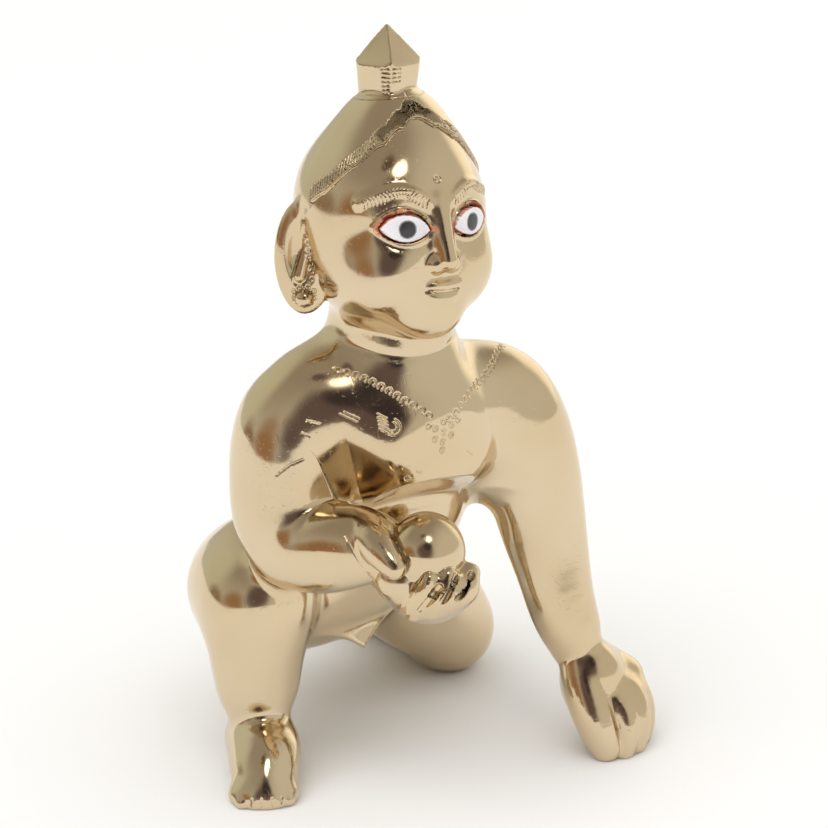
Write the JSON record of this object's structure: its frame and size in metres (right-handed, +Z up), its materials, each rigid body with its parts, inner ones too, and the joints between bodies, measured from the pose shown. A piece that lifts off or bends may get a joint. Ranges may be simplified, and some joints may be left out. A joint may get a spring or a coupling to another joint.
{
  "type": "krishna figure",
  "caption": "Polished cast brass figure of the child Krishna crawling, with a ball of butter in the raised hand, a topknot and white enamel eyes.",
  "frame": {"origin": "on the floor, under the middle of the figure's bounding box", "axes": "+Z up, the figure faces -Y and its left side is towards +X"},
  "size_m": [0.0718, 0.0842, 0.12],
  "materials": {
    "brass": "mirror-polished pale cast brass with fine polishing scratches and a few casting pits",
    "enamel": "glossy white enamel with a painted dark pupil and red-orange corners"
  },
  "bodies": {
    "root": {"figure": "brass", "left_eye": "enamel", "right_eye": "enamel"}
  },
  "joints": []
}
